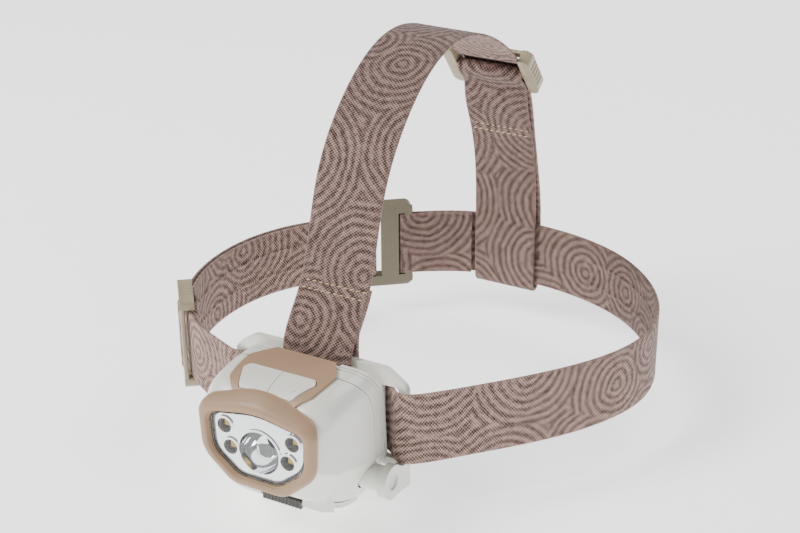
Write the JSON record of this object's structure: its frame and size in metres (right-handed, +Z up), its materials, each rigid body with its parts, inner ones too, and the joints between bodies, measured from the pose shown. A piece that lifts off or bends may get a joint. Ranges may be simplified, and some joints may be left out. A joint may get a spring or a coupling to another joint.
{
  "type": "headlamp",
  "caption": "Camping headlamp: a tilting lamp on a bracket plate, an adjustable elastic headband and a top strap.",
  "frame": {"origin": "middle of the headband ring, at half the height of its webbing", "axes": "+Z up on the wearer, +Y from the lamp towards the back of the head, +X at the wearer's left"},
  "size_m": [0.1938, 0.2132, 0.1577],
  "materials": {
    "pearl_plastic": "satin gloss",
    "tan_plastic": "matte",
    "khaki_plastic": "satin",
    "olive_plastic": "satin",
    "dark_plastic": "matte",
    "webbing": "woven elastic",
    "clear_lens": "polished clear",
    "bright_reflector": "metallised",
    "led_phosphor": "satin",
    "circuit_board": "satin",
    "cell_wrap": "wrapped metal can",
    "contact_metal": "plated",
    "aluminium_sink": "satin",
    "steel": "brushed",
    "seal_rubber": "matte"
  },
  "bodies": {
    "harness": {"bracket_plate": "pearl_plastic", "band_front": "webbing", "band_right": "webbing", "band_right_rear": "webbing", "band_rear": "webbing", "band_tail": "webbing", "band_left_rear": "webbing", "band_left": "webbing", "band_lining_rear": "webbing", "band_lining": "webbing", "top_strap_front": "webbing", "top_strap_rear": "webbing", "top_strap_loop": "webbing", "rear_buckle": "olive_plastic"},
    "tray": {"battery_tray": "pearl_plastic", "hinge_pin_left": "steel", "hinge_pin_right": "steel", "lid_pin": "steel", "battery_1": "cell_wrap", "battery_2": "cell_wrap", "battery_3": "cell_wrap", "battery_cradle": "dark_plastic", "contact_left": "contact_metal", "contact_right": "contact_metal"},
    "head": {"front_housing": "pearl_plastic", "bezel_frame": "tan_plastic", "lens": "clear_lens", "lens_seal": "seal_rubber", "reflector": "bright_reflector", "main_led": "led_phosphor", "side_led_1": "led_phosphor", "side_led_2": "led_phosphor", "side_led_3": "led_phosphor", "side_led_4": "led_phosphor", "led_board": "circuit_board", "heat_sink": "aluminium_sink", "control_board": "circuit_board", "switch_left": "dark_plastic", "switch_right": "dark_plastic", "latch_pin": "steel"},
    "button_left": {"button_left": "pearl_plastic"},
    "button_right": {"button_right": "pearl_plastic"},
    "latch": {"latch_plate": "pearl_plastic", "latch_grip": "dark_plastic"},
    "slider_left": {"slider_left": "khaki_plastic"},
    "slider_top": {"slider_top": "khaki_plastic"}
  },
  "joints": [
    {"name": "lamp_tilt", "type": "hinge", "parent": "harness", "child": "tray", "pos_m": [0, -0.094, -0.019], "axis": [1, 0, 0], "range_deg": [0, 60]},
    {"name": "lid_open", "type": "hinge", "parent": "tray", "child": "head", "pos_m": [0, -0.0939, 0.0229], "axis": [-1, 0, 0], "range_deg": [0, 55]},
    {"name": "latch_open", "type": "hinge", "parent": "head", "child": "latch", "pos_m": [0, -0.1116, -0.0272], "axis": [-1, 0, 0], "range_deg": [0, 60]},
    {"name": "button_left_press", "type": "slide", "parent": "head", "child": "button_left", "axis": [0, 0, -1], "range_m": [0, 0.001], "stiffness_N_per_m": 800},
    {"name": "button_right_press", "type": "slide", "parent": "head", "child": "button_right", "axis": [0, 0, -1], "range_m": [0, 0.001], "stiffness_N_per_m": 800},
    {"name": "slider_left_move", "type": "hinge", "parent": "harness", "child": "slider_left", "pos_m": [-0.0361, -0.02616, 0], "axis": [0, 0, 1], "range_deg": [-6, 6]},
    {"name": "slider_top_move", "type": "hinge", "parent": "harness", "child": "slider_top", "pos_m": [0, 0.01924, 0.06028], "axis": [1, 0, 0], "range_deg": [-6, 6]}
  ]
}
